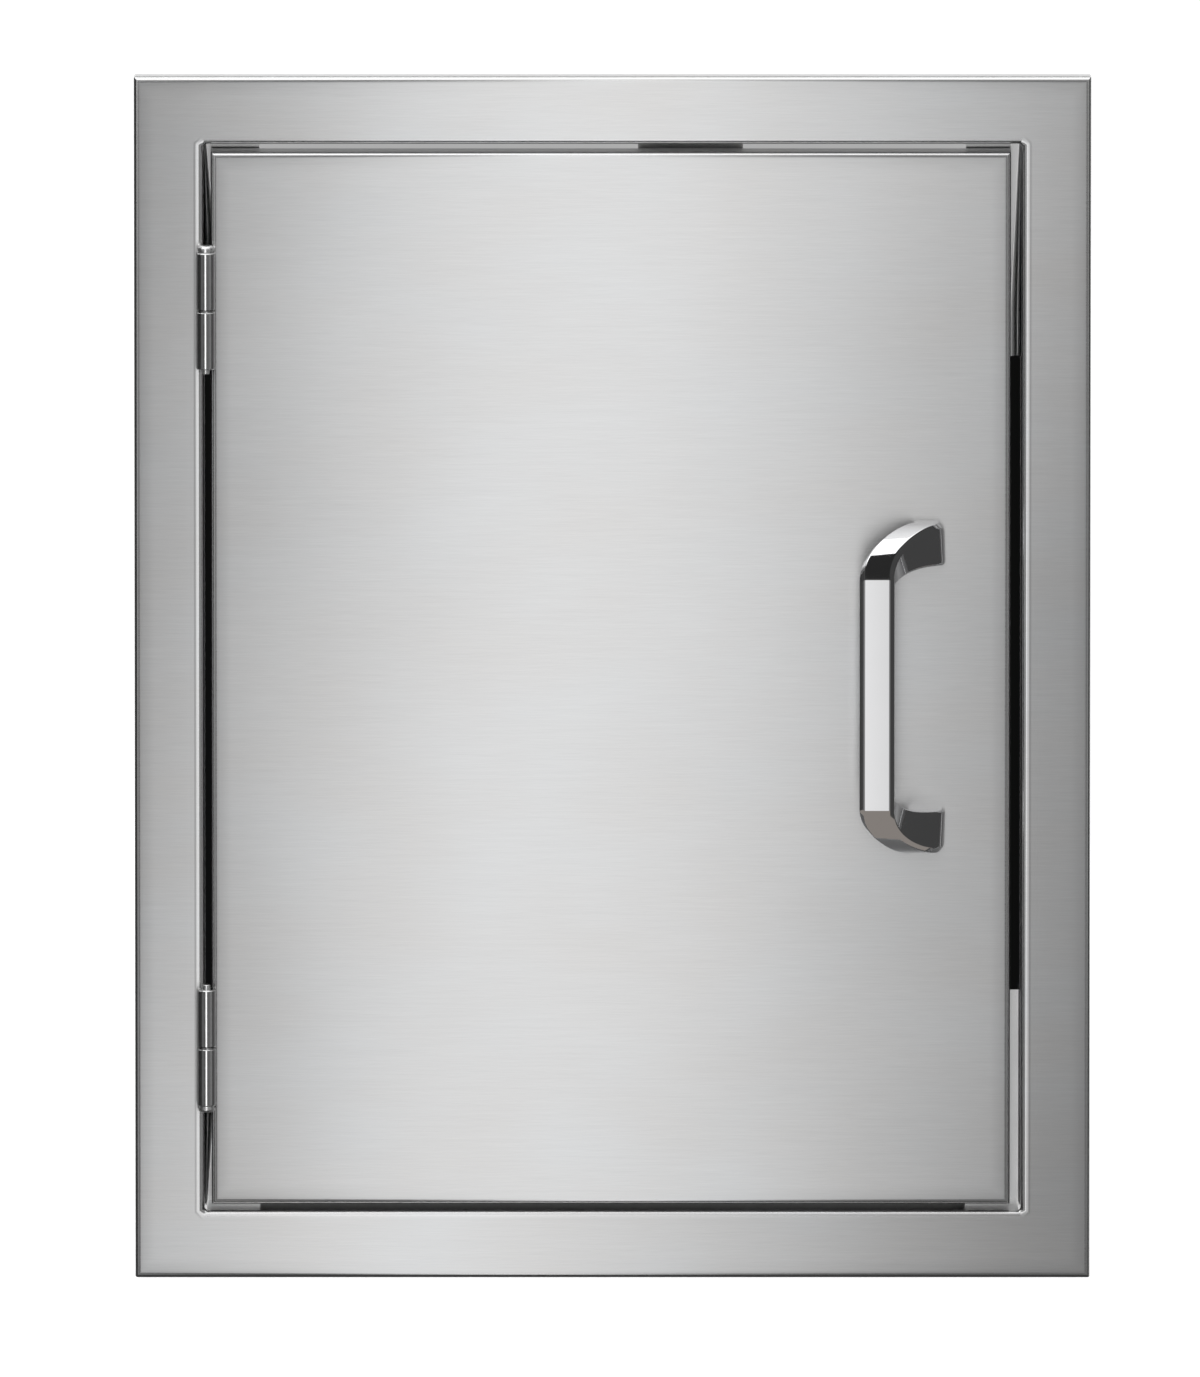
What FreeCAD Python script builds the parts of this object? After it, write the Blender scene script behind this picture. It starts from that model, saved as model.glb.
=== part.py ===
import FreeCAD, Part
import math
import os

from FreeCAD import Vector

# Access door for an outdoor kitchen island: a folded stainless frame with a flush,
# double-walled door on two barrel hinges, a cast handle and a magnetic catch.
# Millimetres. X runs to the right and Z up as seen from outside, Y runs into the island.
# The origin is the centre of the opening, on the face of the island's wall.

# Frame: one folded sheet
opening_width = 412.4
opening_height = 542.8
stile_width = 35.1  # from the opening to the frame's left or right edge
rail_width = 34.2  # from the opening to its top or bottom edge
return_depth = 12.7  # from the wall to the frame's face
sleeve_depth = 50.8  # from the face to the sleeve's rear edge
frame_sheet = 1.2
frame_bend = 3.0  # outside radius of every fold
frame_corner = 1.3  # the outer corners, seen from the front
fixing_hole_radius = 2.6
fixing_hole_drop = 141.4  # from the opening's top or bottom
fixing_hole_inset = 12.8  # from the sleeve's rear edge

# Door: folded skin, liner and what is between them
gap_hinge_side = 3.7
gap_latch_side = 5.5
gap_top = 4.0
gap_bottom = 3.4
door_depth = 19.0  # the skin alone
door_sheet = 1.0
door_bend = 3.0
lip_width = 14.0  # the skin's edge, folded in behind
lip_bend = 2.0
liner_sheet = 1.0
liner_margin = 5.0  # from the door's edge to the liner's
liner_recess_margin = 18.6  # from the door's edge to the pressed centre
liner_recess_depth = 4.0
liner_recess_slope = 4.0
stiffener_sheet = 1.0
stiffener_crown = 26.0
stiffener_flange = 12.0
stiffener_inset = 24.0  # from the door's top and bottom edges
stiffener_offset = 62.0  # from the door's middle to each one
beyond = 1.0  # how far a cut runs past the sheet it goes through

# Hinges: knuckles stand in front of the gap, leaves go back into it
hinge_drop = 84.0  # from the opening's top or bottom to the hinge's joint
hinge_standoff = 4.2  # pin's axis in front of the face
hinge_inset = 1.1  # pin's axis to the right of the sleeve's wall
knuckle_radius = 4.75
knuckle_length = 29.2
pin_radius = 2.4
pin_running_gap = 0.05
pin_tip_radius = 1.9
pin_tip_length = 2.5
pin_neck_radius = 3.8
pin_neck_length = 0.9
pin_head_radius = 4.25
pin_head_length = 2.5
pin_head_dome = 2.0
pin_tip_dome = 0.57
washer_radius = 4.5
washer_thickness = 0.5
side_gap = 0.3  # between the turning knuckle and what is above or below it
leaf_thickness = 1.4
leaf_depth = 17.0  # from the face to the leaf's rear edge
leaf_start = 5.6  # from the pin's axis to the leaf's front edge

# Handle: two feet on the right and a grip set over to the left
handle_inset = 41.9  # from the door's right edge to the middle of its feet
handle_drop = 4.0  # its middle, below the middle of the opening
screw_spacing = 146.05
handle_standoff = 35.0
foot_width = 17.2
foot_length = 20.4
foot_plinth = 3.0
grip_offset = 26.4
grip_width = 17.4
grip_thickness = 11.5
arm_reach = 20.0  # along the handle, from a screw to the end of the straight grip
arm_hook = 1.4  # how late the arm turns towards the grip
arm_lean = 0.12  # how late its sections lean over to the grip's side
foot_rounding = 2.8
grip_rounding = 2.6
arm_steps = 8
arm_share_step = 0.01  # for the arm's direction
screw_radius = 2.45
thread_gap = 0.05
screw_bite = 10.0
screw_hole_depth = 11.0
screw_head_radius = 4.75
screw_head_length = 3.2
screw_washer_radius = 6.0
screw_washer_thickness = 1.0
backing_width = 28.0
backing_thickness = 1.5
backing_overhang = 16.0  # past each screw
clearance = 0.3  # a screw in a plain hole, or a washer on a screw
plug_hole_radius = 7.0
plug_rim = 1.8
plug_cap = 1.2
plug_depth = 3.5
plug_gap = 0.1
plug_dome = 0.72

# Corner stops and their bumpers
stop_length = 110.0
stop_width = 28.0
stop_depth = 22.0
stop_sheet = 1.2
stop_bend = 2.0
bumper_radius = 5.0
bumper_thickness = 1.5
bumper_inset = 19.0  # from the sleeve's wall
bumper_drop = 24.0  # from the sleeve's top or bottom
bumper_gap = 0.3
bumper_rounding = 0.4

# Magnetic catch, hung from the sleeve's top
catch_x = 39.3
catch_end = 7.5  # of the housing, past the magnet
catch_height = 15.0
catch_depth = 16.0
catch_sheet = 1.2
catch_bend = 2.0
catch_gap = 0.3
pole_thickness = 1.2
pole_proud = 1.0
magnet_width = 38.0
magnet_height = 5.0
magnet_depth = 11.0
catch_rounding = 1.5
catch_screw_radius = 1.9
catch_screw_inset = 4.5  # from the housing's end
catch_screw_length = 8.0
catch_screw_head_radius = 3.6
catch_screw_head_length = 2.4
catch_bracket_back_off = 2.0  # from the housing's front to the bracket's
recess_width_share = 0.22  # a screw's cross recess, against its head
recess_reach_share = 0.62
recess_depth_share = 0.55
head_dome_share = 0.45
screw_point_share = 0.2
strike_end = 4.0  # past the magnet
strike_height = 12.0
strike_thickness = 1.5
strike_rivet_radius = 1.6
strike_rivet_head_radius = 3.0
strike_rivet_head_length = 0.9
strike_rivet_inset = 7.0  # from the strike's end

# Places worked out from those
outer_width = opening_width + 2 * stile_width
outer_height = opening_height + 2 * rail_width
face = -return_depth
sleeve_rear = face + sleeve_depth
left_wall = -opening_width / 2
right_wall = opening_width / 2
top_wall = opening_height / 2
bottom_wall = -opening_height / 2
door_x = (left_wall + gap_hinge_side, right_wall - gap_latch_side)
door_z = (bottom_wall + gap_bottom, top_wall - gap_top)
handle_x = door_x[1] - handle_inset
lip_plane = face + door_depth
door_back = lip_plane + liner_sheet
recess_plane = lip_plane - liner_recess_depth
skin_inside = face + door_sheet
pin_x = left_wall + hinge_inset
pin_y = face - hinge_standoff
screw_heights = [screw_spacing / 2 - handle_drop, -screw_spacing / 2 - handle_drop]
stop_plane = door_back + bumper_gap + bumper_thickness
catch_z = door_z[1] - liner_margin - strike_height / 2
catch_front = door_back + strike_thickness + catch_gap
catch_width = magnet_width + 2 * catch_end
catch_screw_spacing = catch_width - 2 * catch_screw_inset
strike_width = magnet_width + 2 * strike_end
strike_rivet_spacing = strike_width - 2 * strike_rivet_inset

axis = {"x": Vector(1, 0, 0), "y": Vector(0, 1, 0), "z": Vector(0, 0, 1)}
near = 0.01  # two places this close are the same one


def box(x, y, z):
    low = Vector(x[0], y[0], z[0])
    return Part.makeBox(x[1] - x[0], y[1] - y[0], z[1] - z[0], low)


def rod(radius, start, end):
    way = end.sub(start)
    return Part.makeCylinder(radius, way.Length, start, way)


def around(middle, size):
    return (middle - size / 2, middle + size / 2)


def inset(limits, by):
    return (limits[0] + by, limits[1] - by)


# A closed outline through corners, each a point and the radius it is rounded by
def rounded_wire(corners):
    turns = []
    count = len(corners)
    for i, (point, radius) in enumerate(corners):
        back = corners[i - 1][0].sub(point).normalize()
        ahead = corners[(i + 1) % count][0].sub(point).normalize()
        if radius <= 0:
            turns.append((point, None, point))
            continue
        half = back.getAngle(ahead) / 2
        reach = radius / math.tan(half)
        inward = (back + ahead).normalize()
        crown = point + inward * (radius / math.sin(half) - radius)
        turns.append((point + back * reach, crown, point + ahead * reach))
    edges = []
    for i, (start, crown, end) in enumerate(turns):
        if crown is not None:
            edges.append(Part.Arc(start, crown, end).toShape())
        following = turns[(i + 1) % count][0]
        if end.distanceToPoint(following) > near:
            edges.append(Part.makeLine(end, following))
    return Part.Wire(edges)


# A rectangle at one depth, as a wire
def rectangle(x, y, z):
    points = [Vector(x[0], y, z[0]), Vector(x[1], y, z[0]), Vector(x[1], y, z[1]), Vector(x[0], y, z[1])]
    return rounded_wire([(point, 0) for point in points])


# A bar whose outline lies on two axes, such as "xy", and which runs along the third
def bar(corners, plane, limits):
    across, up = axis[plane[0]], axis[plane[1]]
    along = axis[("xyz".replace(plane[0], "")).replace(plane[1], "")]
    points = [(across * u + up * v + along * limits[0], radius) for u, v, radius in corners]
    return Part.Face(rounded_wire(points)).extrude(along * (limits[1] - limits[0]))


# A box whose edges are rounded at the front, and at the back if asked, as a folded tray's are
def tray_block(x, y, z, front, back=0.0):
    upright = [(x[0], y[0], front), (x[1], y[0], front), (x[1], y[1], back), (x[0], y[1], back)]
    level = [(z[0], y[0], front), (z[1], y[0], front), (z[1], y[1], back), (z[0], y[1], back)]
    tall = bar(upright, "xy", inset(z, -beyond))
    wide = bar(level, "zy", inset(x, -beyond))
    return tall.common(wide)


# A section that runs round a rectangle and is mitred at its corners. Its corners are
# distances outward from the rectangle, and depths.
def mitred_ring(width, height, section):
    path = rectangle(around(0, width), 0, around(0, height))
    outline = rounded_wire([(Vector(0, y, -height / 2 - out), radius) for out, y, radius in section])
    right_corner = 1
    return path.makePipeShell([outline], True, False, right_corner)


# The sleeve and the fold at its mouth, the flat front, and the return behind the outer edge
def face_frame():
    inner_bend = frame_bend - frame_sheet
    sleeve = mitred_ring(opening_width, opening_height, [
        (frame_bend, face, 0), (0, face, frame_bend), (0, sleeve_rear, 0),
        (frame_sheet, sleeve_rear, 0), (frame_sheet, face + frame_sheet, inner_bend),
        (frame_bend, face + frame_sheet, 0),
    ])
    edge = mitred_ring(outer_width, outer_height, [
        (-frame_bend, face, 0), (0, face, frame_bend), (0, 0, 0),
        (-frame_sheet, 0, 0), (-frame_sheet, face + frame_sheet, inner_bend),
        (-frame_bend, face + frame_sheet, 0),
    ])
    width, height = around(0, outer_width), around(0, outer_height)
    depth = (face, face + frame_sheet)
    plate = box(inset(width, frame_bend), depth, inset(height, frame_bend))
    mouth_width, mouth_height = opening_width + 2 * frame_bend, opening_height + 2 * frame_bend
    mouth = box(around(0, mouth_width), inset(depth, -beyond), around(0, mouth_height))
    frame = plate.cut(mouth).fuse([sleeve, edge]).removeSplitter()
    left, right = width
    low, high = height
    corners = [(u, v, frame_corner) for u, v in ((left, low), (right, low), (right, high), (left, high))]
    block = bar(corners, "xz", (face - beyond, sleeve_rear + beyond))
    return frame.common(block).cut(fixing_holes())


def fixing_holes():
    holes = []
    y = sleeve_rear - fixing_hole_inset
    through = frame_sheet + beyond
    for wall in (left_wall, right_wall):
        for z in inset((bottom_wall, top_wall), fixing_hole_drop):
            middle, way = Vector(wall, y, z), axis["x"] * through
            holes.append(rod(fixing_hole_radius, middle - way, middle + way))
    return Part.makeCompound(holes)


# A folded angle: one leg lies on the sleeve's side wall, the other stands behind the door
def corner_stop(side, end):
    wall = right_wall if side > 0 else left_wall
    height = top_wall if end > 0 else bottom_wall
    back = stop_plane + stop_depth
    corners = [
        (wall, stop_plane, stop_bend),
        (wall, back, 0),
        (wall - side * stop_sheet, back, 0),
        (wall - side * stop_sheet, stop_plane + stop_sheet, stop_bend - stop_sheet),
        (wall - side * stop_width, stop_plane + stop_sheet, 0),
        (wall - side * stop_width, stop_plane, 0),
    ]
    limits = sorted((height, height - end * stop_length))
    return bar(corners, "xy", limits)


def stop_bumpers():
    bumpers = []
    for side in (-1, 1):
        for end in (-1, 1):
            x = side * (right_wall - bumper_inset)
            z = end * (top_wall - bumper_drop)
            start = Vector(x, stop_plane, z)
            pad = rod(bumper_radius, start, start - axis["y"] * bumper_thickness)
            rim = [edge for edge in pad.Edges if edge.CenterOfMass.y < stop_plane - bumper_thickness / 2]
            bumpers.append(pad.makeFillet(bumper_rounding, rim))
    return Part.makeCompound(bumpers)


# A pan-head screw with a cross recess: its shank starts under the head at a point
def screw(seat, way, radius, length, head_radius, head_length):
    recess_width = recess_width_share * head_radius
    recess_reach = recess_reach_share * head_radius
    recess_depth = recess_depth_share * head_length
    top = seat - way * head_length
    head = rod(head_radius, seat, top)
    rim = [edge for edge in head.Edges if abs((edge.CenterOfMass - top).dot(way)) < near]
    head = head.makeFillet(head_dome_share * head_length, rim)
    cross = way.cross(axis["x"]) if abs(way.x) < 0.5 else way.cross(axis["z"])
    other = way.cross(cross)
    for long, short in ((cross, other), (other, cross)):
        arms = []
        for u, v in ((-1, -1), (1, -1), (1, 1), (-1, 1)):
            arms.append((top + long * (u * recess_reach) + short * (v * recess_width), 0))
        head = head.cut(Part.Face(rounded_wire(arms)).extrude(way * recess_depth))
    shank = rod(radius, seat, seat + way * length)
    tip = [edge for edge in shank.Edges if abs((edge.CenterOfMass - seat).dot(way) - length) < near]
    return head.fuse(shank.makeChamfer(screw_point_share * radius, tip))


def catch_bracket():
    low = catch_z - catch_height / 2
    rear = catch_front + pole_proud + catch_depth + catch_sheet
    front = catch_front + pole_proud + catch_bracket_back_off
    corners = [
        (front, top_wall, 0),
        (rear, top_wall, catch_bend),
        (rear, low, 0),
        (rear - catch_sheet, low, 0),
        (rear - catch_sheet, top_wall - catch_sheet, catch_bend - catch_sheet),
        (front, top_wall - catch_sheet, 0),
    ]
    bracket = bar(corners, "yz", around(catch_x, catch_width))
    for x in around(catch_x, catch_screw_spacing):
        start = Vector(x, rear + beyond, catch_z)
        hole = rod(catch_screw_radius + clearance, start, start - axis["y"] * (catch_sheet + 2 * beyond))
        bracket = bracket.cut(hole)
    return bracket


def catch_housing():
    front = catch_front + pole_proud
    width = around(catch_x, catch_width)
    height = around(catch_z, catch_height)
    body = box(width, (front, front + catch_depth), height)
    uprights = [e for e in body.Edges if abs(e.tangentAt(e.FirstParameter).y) > 0.9]
    body = body.makeFillet(catch_rounding, uprights)
    pocket_height = magnet_height + 2 * pole_thickness
    pocket_depth = (front - beyond, catch_front + magnet_depth)
    pocket = box(around(catch_x, magnet_width), pocket_depth, around(catch_z, pocket_height))
    body = body.cut(pocket)
    for x in around(catch_x, catch_screw_spacing):
        start = Vector(x, front + catch_depth, catch_z)
        body = body.cut(rod(catch_screw_radius + thread_gap, start, start - axis["y"] * catch_screw_length))
    return body


def catch_magnet():
    return box(
        around(catch_x, magnet_width),
        (catch_front + pole_proud, catch_front + magnet_depth),
        around(catch_z, magnet_height),
    )


def catch_pole_plates():
    plates = []
    for side in (-1, 1):
        z = catch_z + side * (magnet_height + pole_thickness) / 2
        depth = (catch_front, catch_front + magnet_depth)
        plates.append(box(around(catch_x, magnet_width), depth, around(z, pole_thickness)))
    return Part.makeCompound(plates)


def catch_screws():
    screws = []
    seat_y = catch_front + pole_proud + catch_depth + catch_sheet
    head = (catch_screw_head_radius, catch_screw_head_length)
    for x in around(catch_x, catch_screw_spacing):
        seat = Vector(x, seat_y, catch_z)
        screws.append(screw(seat, -axis["y"], catch_screw_radius, catch_screw_length, *head))
    return Part.makeCompound(screws)


def strike_plate():
    z = around(catch_z, strike_height)
    plate = box(around(catch_x, strike_width), (door_back, door_back + strike_thickness), z)
    corners = [e for e in plate.Edges if abs(e.tangentAt(e.FirstParameter).y) > 0.9]
    plate = plate.makeFillet(catch_rounding, corners)
    return plate.cut(strike_rivet_holes(strike_rivet_radius))


def strike_rivet_holes(radius):
    holes = []
    for x in around(catch_x, strike_rivet_spacing):
        start = Vector(x, door_back + strike_thickness, catch_z)
        end = Vector(x, lip_plane - door_sheet, catch_z)
        holes.append(rod(radius, start, end))
    return Part.makeCompound(holes)


# Flush rivets: only a shallow head stands behind the skin's lip, inside the door
def strike_rivets():
    rivets = []
    for x in around(catch_x, strike_rivet_spacing):
        start = Vector(x, door_back + strike_thickness, catch_z)
        inner = Vector(x, lip_plane - door_sheet, catch_z)
        tail = rod(strike_rivet_head_radius, inner, inner - axis["y"] * strike_rivet_head_length)
        rivets.append(rod(strike_rivet_radius, start, inner).fuse(tail))
    return Part.makeCompound(rivets)


def door_skin():
    shell = tray_block(door_x, (face, lip_plane), door_z, door_bend, lip_bend)
    hollow = tray_block(
        inset(door_x, door_sheet),
        inset((face, lip_plane), door_sheet),
        inset(door_z, door_sheet),
        door_bend - door_sheet,
        lip_bend - door_sheet,
    )
    window_depth = (lip_plane - door_sheet - beyond, lip_plane + beyond)
    window = box(inset(door_x, lip_width), window_depth, inset(door_z, lip_width))
    skin = shell.cut(hollow).cut(window).cut(strike_rivet_holes(strike_rivet_radius))
    for z in screw_heights:
        start = Vector(handle_x, face - beyond, z)
        skin = skin.cut(rod(screw_radius + clearance, start, start + axis["y"] * (door_sheet + 2 * beyond)))
    return skin


def door_liner():
    sheet = box(inset(door_x, liner_margin), (lip_plane, door_back), inset(door_z, liner_margin))
    x, z = inset(door_x, liner_recess_margin), inset(door_z, liner_recess_margin)
    floor_x, floor_z = inset(x, liner_recess_slope), inset(z, liner_recess_slope)
    pressed = Part.makeLoft(
        [rectangle(x, lip_plane, z), rectangle(floor_x, recess_plane, floor_z)], True, True
    )
    hollow = pressed.copy()
    hollow.translate(axis["y"] * liner_sheet)
    liner = sheet.fuse(pressed).cut(hollow)
    for z in screw_heights:
        start = Vector(handle_x, recess_plane - beyond, z)
        liner = liner.cut(rod(plug_hole_radius, start, start + axis["y"] * (liner_sheet + 2 * beyond)))
    return liner.cut(strike_rivet_holes(strike_rivet_radius))


def liner_plugs():
    plugs = []
    seat_y = recess_plane + liner_sheet
    for z in screw_heights:
        seat = Vector(handle_x, seat_y, z)
        cap = rod(plug_hole_radius + plug_rim, seat, seat + axis["y"] * plug_cap)
        rim = [edge for edge in cap.Edges if edge.CenterOfMass.y > seat_y + plug_cap - near]
        cap = cap.makeFillet(plug_dome, rim)
        stem = rod(plug_hole_radius - plug_gap, seat, seat - axis["y"] * plug_depth)
        plugs.append(cap.fuse(stem))
    return Part.makeCompound(plugs)


# A hat section: its flanges lie on the skin and its crown carries the liner
def stiffener(side):
    middle = sum(door_x) / 2 + side * stiffener_offset
    crown = stiffener_crown / 2
    foot = crown + stiffener_flange
    low, high = skin_inside, recess_plane
    sheet = stiffener_sheet
    half = [(foot, low, 0), (foot, low + sheet, 0), (crown, low + sheet, sheet), (crown, high, 2 * sheet)]
    hollow = [(crown - sheet, high - sheet, sheet), (crown - sheet, low, 2 * sheet)]
    outside = half + [(-x, y, radius) for x, y, radius in reversed(half)]
    inside = [(-x, y, radius) for x, y, radius in reversed(hollow)] + hollow
    corners = [(middle + x, y, radius) for x, y, radius in outside + inside]
    return bar(corners, "xy", inset(door_z, stiffener_inset))


# Where the middle of an arm is, from 0 on its plinth to 1 on the grip: to the left of the foot,
# out from the door, and along the handle. It rises first, then turns towards the grip.
def arm_point(share):
    turn = math.radians(90) * share**arm_hook
    rise = math.radians(90) * share
    height = handle_standoff - grip_thickness / 2 - foot_plinth
    out = foot_plinth + height * math.sin(rise)
    return Vector(grip_offset * math.sin(turn), out, arm_reach * (1 - math.cos(turn)))


def arm_direction(share):
    if share <= 0:
        return axis["y"]
    if share >= 1:
        return axis["z"]
    way = arm_point(share + arm_share_step) - arm_point(share - arm_share_step)
    way.x *= share / (share + arm_lean)
    return way.normalize()


def handle_place(spot, end):
    return Vector(handle_x - spot.x, face - spot.y, -handle_drop + end * (screw_spacing / 2 - spot.z))


def handle_section(share, end, lift=0.0):
    way = arm_direction(share)
    wide = (axis["x"] - way * way.x).normalize()
    thick = way.cross(wide)
    slim = math.sin(math.radians(90) * share)
    half_width = (foot_width + (grip_width - foot_width) * share) / 2
    half_thick = (foot_length + (grip_thickness - foot_length) * slim) / 2
    rounding = foot_rounding + (grip_rounding - foot_rounding) * share
    middle = arm_point(share) - axis["y"] * lift
    corners = []
    for u, v in ((-1, -1), (1, -1), (1, 1), (-1, 1)):
        spot = middle + wide * (u * half_width) + thick * (v * half_thick)
        corners.append((handle_place(spot, end), rounding))
    return rounded_wire(corners)


def handle():
    arms = []
    for end in (1, -1):
        plinth = [handle_section(0, end, lift) for lift in (foot_plinth, foot_plinth / 2)]
        arm = [handle_section(i / arm_steps, end) for i in range(arm_steps + 1)]
        arms.append(Part.makeLoft(plinth + arm, True, False))
    grip_length = screw_spacing - 2 * arm_reach
    grip = Part.Face(handle_section(1, 1)).extrude(-axis["z"] * grip_length)
    body = grip.fuse(arms)
    for z in screw_heights:
        start, end = Vector(handle_x, face + beyond, z), Vector(handle_x, face - screw_hole_depth, z)
        body = body.cut(rod(screw_radius + thread_gap, start, end))
    return body


def handle_backing_plate():
    height = screw_spacing + 2 * backing_overhang
    plate = box(
        around(handle_x, backing_width),
        (skin_inside, skin_inside + backing_thickness),
        around(-handle_drop, height),
    )
    for z in screw_heights:
        start = Vector(handle_x, skin_inside - beyond, z)
        end = start + axis["y"] * (backing_thickness + 2 * beyond)
        plate = plate.cut(rod(screw_radius + clearance, start, end))
    return plate


def handle_washers():
    washers = []
    for z in screw_heights:
        start = Vector(handle_x, skin_inside + backing_thickness, z)
        end = start + axis["y"] * screw_washer_thickness
        disc = rod(screw_washer_radius, start, end)
        washers.append(disc.cut(rod(screw_radius + clearance, start, end)))
    return Part.makeCompound(washers)


def handle_screws():
    seat_y = skin_inside + backing_thickness + screw_washer_thickness
    length = seat_y - face + screw_bite
    screws = []
    for z in screw_heights:
        seat = Vector(handle_x, seat_y, z)
        screws.append(screw(seat, -axis["y"], screw_radius, length, screw_head_radius, screw_head_length))
    return Part.makeCompound(screws)


# Heights of one hinge's pieces: the frame's knuckle is below the joint and the door's above
def knuckle_heights(end):
    joint = end * (top_wall - hinge_drop)
    half_joint = (washer_thickness + side_gap) / 2
    frame_knuckle = (joint - half_joint - knuckle_length, joint - half_joint)
    door_knuckle = (joint + half_joint, joint + half_joint + knuckle_length)
    return frame_knuckle, door_knuckle


def hinge_half(x, knuckle, heights, bore):
    leaf = box(x, (pin_y + leaf_start, face + leaf_depth), heights)
    tab = box(x, (pin_y, pin_y + leaf_start), knuckle)
    low, high = Vector(pin_x, pin_y, knuckle[0]), Vector(pin_x, pin_y, knuckle[1])
    body = rod(knuckle_radius, low, high).fuse([leaf, tab])
    return body.cut(rod(bore, low - axis["z"] * beyond, high + axis["z"] * beyond))


def hinge_frame_leaf(end):
    frame_knuckle, door_knuckle = knuckle_heights(end)
    x = (left_wall, left_wall + leaf_thickness)
    return hinge_half(x, frame_knuckle, (frame_knuckle[0], door_knuckle[1]), pin_radius)


def hinge_door_leaf(end):
    frame_knuckle, door_knuckle = knuckle_heights(end)
    x = (door_x[0] - leaf_thickness, door_x[0])
    heights = (frame_knuckle[0], door_knuckle[1])
    return hinge_half(x, door_knuckle, heights, pin_radius + pin_running_gap)


def hinge_washer(end):
    frame_knuckle, _ = knuckle_heights(end)
    low = Vector(pin_x, pin_y, frame_knuckle[1])
    high = low + axis["z"] * washer_thickness
    return rod(washer_radius, low, high).cut(rod(pin_radius + pin_running_gap, low, high))


# The domed head is at the outer end, and the tip comes out of the inner end
def hinge_pin(end):
    frame_knuckle, door_knuckle = knuckle_heights(end)
    if end > 0:
        head_z = door_knuckle[1] + side_gap
        tip_z = frame_knuckle[0]
    else:
        head_z = frame_knuckle[0]
        tip_z = door_knuckle[1]
    up = axis["z"] * end
    seat, tip = Vector(pin_x, pin_y, head_z), Vector(pin_x, pin_y, tip_z)
    neck_top = seat + up * pin_neck_length
    dome_top = neck_top + up * pin_head_length
    dome = rod(pin_head_radius, neck_top, dome_top)
    rim = [edge for edge in dome.Edges if abs(edge.CenterOfMass.z - dome_top.z) < near]
    dome = dome.makeFillet(pin_head_dome, rim)
    point = rod(pin_tip_radius, tip, tip - up * pin_tip_length)
    rim = [edge for edge in point.Edges if abs(edge.CenterOfMass.z - tip.z + end * pin_tip_length) < near]
    point = point.makeFillet(pin_tip_dome, rim)
    shank = rod(pin_radius, seat, tip)
    return shank.fuse([rod(pin_neck_radius, seat, neck_top), dome, point])


def build():
    nodes = {
        "face_frame": face_frame(),
        "stop_bumpers": stop_bumpers(),
        "catch_bracket": catch_bracket(),
        "catch_housing": catch_housing(),
        "catch_magnet": catch_magnet(),
        "catch_pole_plates": catch_pole_plates(),
        "catch_screws": catch_screws(),
        "door_skin": door_skin(),
        "door_liner": door_liner(),
        "liner_plugs": liner_plugs(),
        "left_stiffener": stiffener(-1),
        "right_stiffener": stiffener(1),
        "strike_plate": strike_plate(),
        "strike_rivets": strike_rivets(),
        "handle": handle(),
        "handle_backing_plate": handle_backing_plate(),
        "handle_washers": handle_washers(),
        "handle_screws": handle_screws(),
    }
    for end, level in ((1, "upper"), (-1, "lower")):
        nodes[level + "_left_corner_stop"] = corner_stop(-1, end)
        nodes[level + "_right_corner_stop"] = corner_stop(1, end)
        nodes[level + "_hinge_frame_leaf"] = hinge_frame_leaf(end)
        nodes[level + "_hinge_door_leaf"] = hinge_door_leaf(end)
        nodes[level + "_hinge_washer"] = hinge_washer(end)
        nodes[level + "_hinge_pin"] = hinge_pin(end)
    os.makedirs("parts", exist_ok=True)
    for name, shape in sorted(nodes.items()):
        shape.exportStep(os.path.join("parts", name + ".step"))
        box_size = shape.BoundBox
        size = (round(box_size.XLength, 2), round(box_size.YLength, 2), round(box_size.ZLength, 2))
        print(name, len(shape.Solids), "solids", round(shape.Volume, 1), size, shape.isValid())


build()
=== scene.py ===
import math

import bmesh
import bpy
from mathutils import Matrix, Vector


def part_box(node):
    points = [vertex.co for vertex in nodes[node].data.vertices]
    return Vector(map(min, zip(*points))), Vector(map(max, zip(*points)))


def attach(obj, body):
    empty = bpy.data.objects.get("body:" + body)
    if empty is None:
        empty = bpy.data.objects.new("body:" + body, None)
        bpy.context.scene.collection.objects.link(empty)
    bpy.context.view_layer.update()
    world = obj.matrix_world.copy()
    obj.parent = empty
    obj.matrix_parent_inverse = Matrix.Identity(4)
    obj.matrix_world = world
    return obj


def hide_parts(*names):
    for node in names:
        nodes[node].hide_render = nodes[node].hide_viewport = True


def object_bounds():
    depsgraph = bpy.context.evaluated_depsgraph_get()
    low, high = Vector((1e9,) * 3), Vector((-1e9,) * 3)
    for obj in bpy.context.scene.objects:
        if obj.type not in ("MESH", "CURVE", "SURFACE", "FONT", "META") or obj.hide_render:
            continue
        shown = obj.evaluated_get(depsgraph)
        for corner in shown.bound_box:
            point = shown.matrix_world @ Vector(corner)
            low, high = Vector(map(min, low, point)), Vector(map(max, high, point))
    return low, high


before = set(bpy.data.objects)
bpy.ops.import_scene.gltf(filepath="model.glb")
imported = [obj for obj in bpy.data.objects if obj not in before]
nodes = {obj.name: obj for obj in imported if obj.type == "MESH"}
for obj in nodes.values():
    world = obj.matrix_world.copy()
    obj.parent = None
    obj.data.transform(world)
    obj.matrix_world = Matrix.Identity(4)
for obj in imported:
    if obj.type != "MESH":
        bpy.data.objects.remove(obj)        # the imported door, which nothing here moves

# A stainless access door for an outdoor kitchen, with its frame, hinges, handle and catch.
# Metres: X runs to the right, Y into the island and Z up.

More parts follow.
